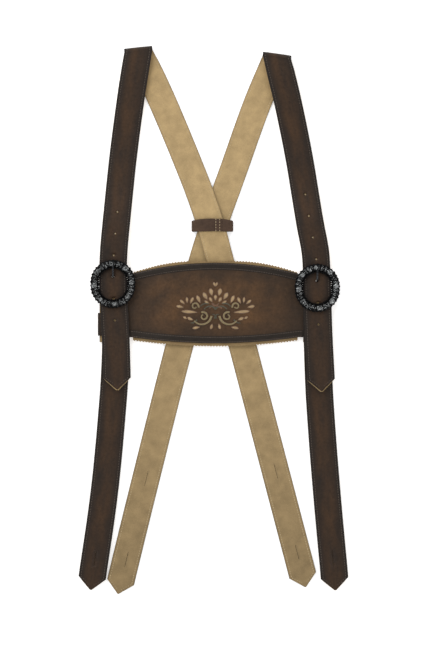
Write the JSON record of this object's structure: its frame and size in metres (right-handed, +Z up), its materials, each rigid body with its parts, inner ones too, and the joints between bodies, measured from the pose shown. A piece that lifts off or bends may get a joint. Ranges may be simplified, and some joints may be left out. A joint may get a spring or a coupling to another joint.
{
  "type": "suspenders",
  "caption": "Leather braces with suede lining, an embroidered chest bridge, round prong buckles, crossed back straps in a keeper and pointed button ends.",
  "frame": {"origin": "centre of the braces in plan, on the surface they lie on", "axes": "+Y up the straps towards the shoulders, +X across the chest, +Z up from the surface"},
  "size_m": [0.3424, 0.6955, 0.0177],
  "materials": {
    "dark_leather": "satin",
    "edge_leather": "satin",
    "suede_lining": "matte",
    "pinked_suede": "matte",
    "antique_metal": "antiqued",
    "blackened_steel": "blackened",
    "tan_thread": "matte"
  },
  "bodies": {
    "back_straps": {"left_back_strap_outer": "dark_leather", "left_back_strap_lining": "suede_lining", "right_back_strap_outer": "dark_leather", "right_back_strap_lining": "suede_lining", "left_shoulder_bend_outer": "dark_leather", "left_shoulder_bend_lining": "suede_lining", "right_shoulder_bend_outer": "dark_leather", "right_shoulder_bend_lining": "suede_lining"},
    "front_straps": {"left_front_strap_outer": "dark_leather", "left_front_strap_lining": "suede_lining", "right_front_strap_outer": "dark_leather", "right_front_strap_lining": "suede_lining"},
    "chest": {"left_lower_strap_outer": "dark_leather", "left_lower_strap_lining": "suede_lining", "right_lower_strap_outer": "dark_leather", "right_lower_strap_lining": "suede_lining", "bridge_front_panel": "dark_leather", "bridge_filling": "suede_lining", "bridge_backing": "pinked_suede", "bridge_upper_welt": "edge_leather", "bridge_lower_welt": "edge_leather", "embroidered_petals": "tan_thread", "embroidered_scrolls": "tan_thread", "embroidered_flower": "tan_thread"},
    "keeper": {"back_keeper": "edge_leather"},
    "left_buckle": {"left_buckle_ring": "antique_metal", "left_buckle_bar": "blackened_steel"},
    "left_prong": {"left_buckle_prong": "blackened_steel"},
    "right_buckle": {"right_buckle_ring": "antique_metal", "right_buckle_bar": "blackened_steel"},
    "right_prong": {"right_buckle_prong": "blackened_steel"}
  },
  "joints": [
    {"name": "shoulder_fold", "type": "hinge", "parent": "back_straps", "child": "front_straps", "pos_m": [0, 0.337, 0.0049], "axis": [-1, 0, 0], "range_deg": [0, 180], "deforming": ["left_shoulder_bend_outer", "left_shoulder_bend_lining", "left_back_strap_outer", "left_back_strap_lining", "right_shoulder_bend_outer", "right_shoulder_bend_lining", "right_back_strap_outer", "right_back_strap_lining"]},
    {"name": "strap_length", "type": "slide", "parent": "front_straps", "child": "chest", "axis": [0, 1, 0], "range_m": [-0.055, 0.0275], "deforming": ["left_front_strap_outer", "left_front_strap_lining", "right_front_strap_outer", "right_front_strap_lining"]},
    {"name": "left_buckle_rock", "type": "hinge", "parent": "chest", "child": "left_buckle", "pos_m": [-0.127, 0.0455, 0.0042], "axis": [1, 0, 0], "range_deg": [-3, 3]},
    {"name": "left_prong_lift", "type": "hinge", "parent": "left_buckle", "child": "left_prong", "pos_m": [-0.127, 0.0455, 0.0042], "axis": [1, 0, 0], "range_deg": [0, 12]},
    {"name": "right_buckle_rock", "type": "hinge", "parent": "chest", "child": "right_buckle", "pos_m": [0.1315, 0.0405, 0.0042], "axis": [1, 0, 0], "range_deg": [-3, 3]},
    {"name": "right_prong_lift", "type": "hinge", "parent": "right_buckle", "child": "right_prong", "pos_m": [0.1315, 0.0405, 0.0042], "axis": [1, 0, 0], "range_deg": [0, 12]},
    {"name": "keeper_slide", "type": "slide", "parent": "back_straps", "child": "keeper", "axis": [0, 1, 0], "range_m": [-0.01, 0.001]}
  ]
}
